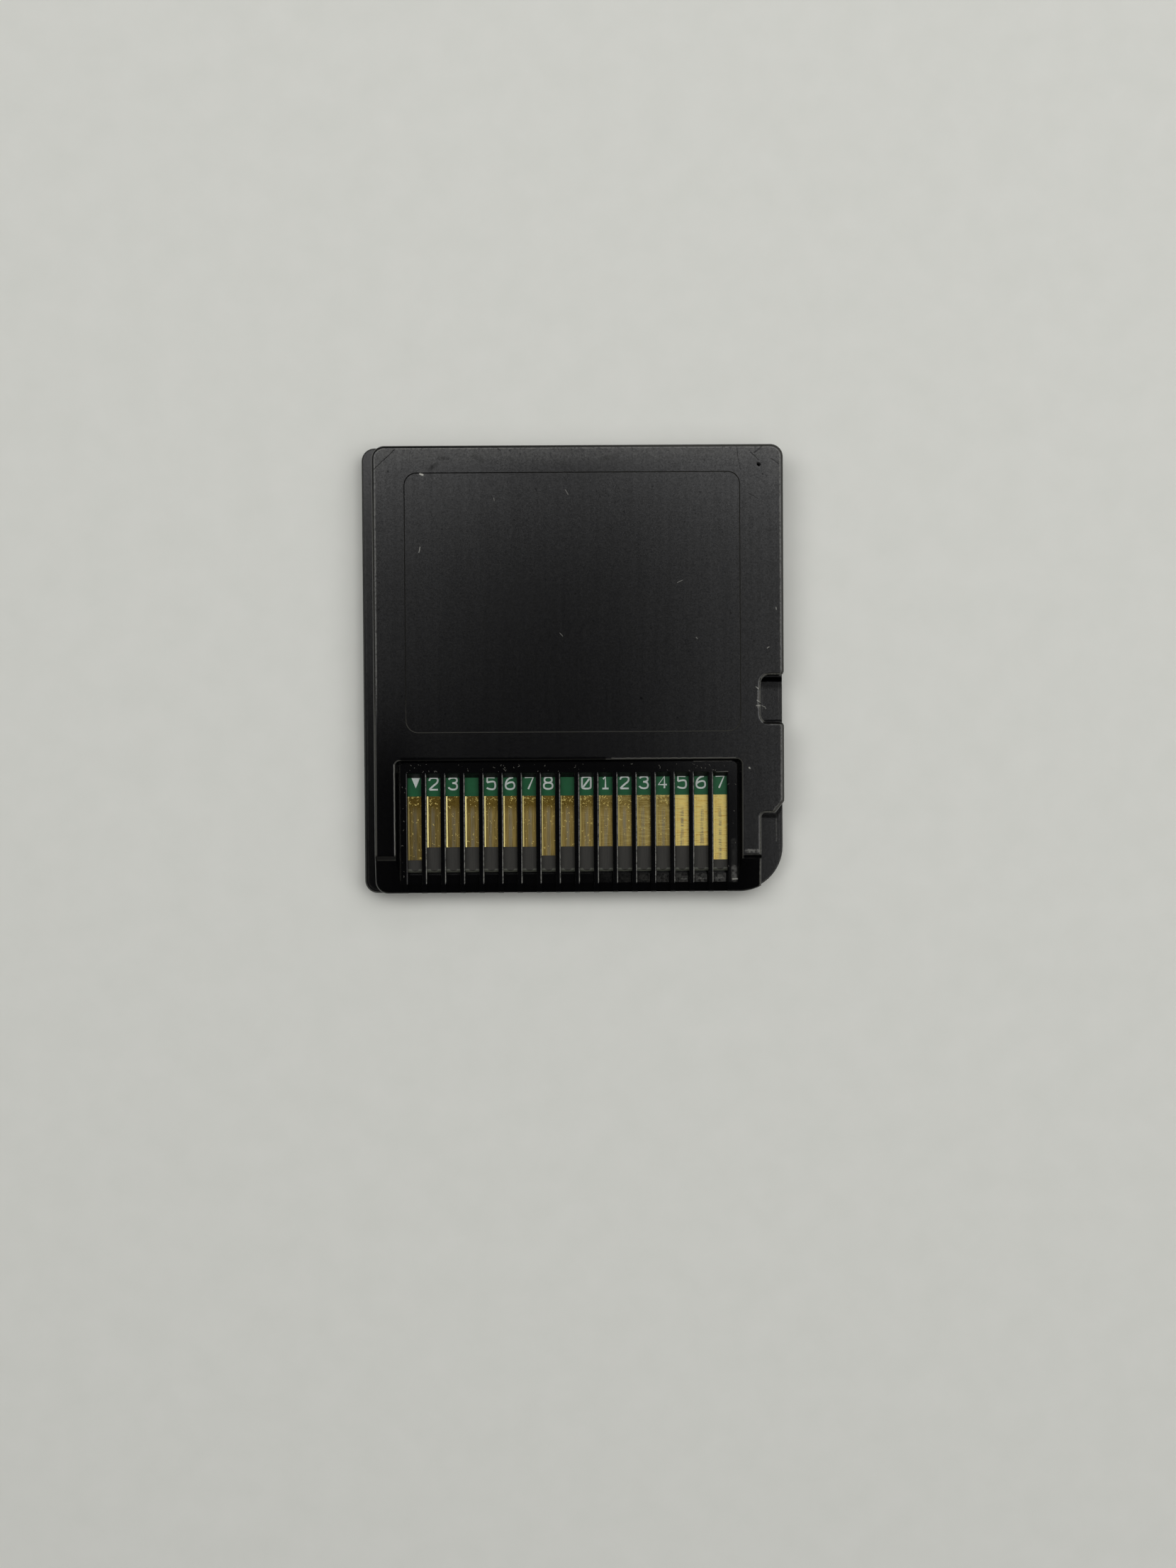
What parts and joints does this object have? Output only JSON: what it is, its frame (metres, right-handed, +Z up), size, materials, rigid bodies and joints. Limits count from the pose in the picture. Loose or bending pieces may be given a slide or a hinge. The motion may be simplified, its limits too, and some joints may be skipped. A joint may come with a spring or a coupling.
{
  "type": "game cartridge",
  "caption": "Flat keyed game cartridge: two moulded half shells around a circuit board, with a ribbed contact bay, gold contact pads, a latch notch and a stepped corner.",
  "frame": {"origin": "middle of the card's outline, on the surface that the card lies on", "axes": "+X across the card to the latch notch, +Y from the contact edge to the grip edge, +Z up from the label side to the contact side"},
  "size_m": [0.033, 0.035, 0.0038],
  "materials": {
    "shell_plastic": "satin moulded black plastic, worn along the edges",
    "board_laminate": "glass laminate with green solder mask",
    "contact_gold": "thin gold plating, wiped by contact springs",
    "chip_plastic": "moulded epoxy package",
    "lead_tin": "tin plated leads",
    "capacitor_ceramic": "fired ceramic with tinned ends",
    "infrared_resin": "dark infrared-pass resin",
    "resonator_ceramic": "fired ceramic"
  },
  "bodies": {
    "root": {"capacitor_1": "capacitor_ceramic", "capacitor_2": "capacitor_ceramic", "capacitor_3": "capacitor_ceramic", "capacitor_4": "capacitor_ceramic", "circuit_board": "board_laminate", "contact_pad_01": "contact_gold", "contact_pad_02": "contact_gold", "contact_pad_03": "contact_gold", "contact_pad_04": "contact_gold", "contact_pad_05": "contact_gold", "contact_pad_06": "contact_gold", "contact_pad_07": "contact_gold", "contact_pad_08": "contact_gold", "contact_pad_09": "contact_gold", "contact_pad_10": "contact_gold", "contact_pad_11": "contact_gold", "contact_pad_12": "contact_gold", "contact_pad_13": "contact_gold", "contact_pad_14": "contact_gold", "contact_pad_15": "contact_gold", "contact_pad_16": "contact_gold", "contact_pad_17": "contact_gold", "front_shell": "shell_plastic", "ir_controller": "chip_plastic", "ir_controller_leads": "lead_tin", "ir_emitter": "infrared_resin", "ir_receiver": "infrared_resin", "rear_shell": "shell_plastic", "resistor_1": "chip_plastic", "resistor_2": "chip_plastic", "resistor_3": "chip_plastic", "resistor_4": "chip_plastic", "resonator": "resonator_ceramic", "rom_chip": "chip_plastic", "rom_chip_leads": "lead_tin", "save_chip": "chip_plastic", "save_chip_leads": "lead_tin"}
  },
  "joints": []
}
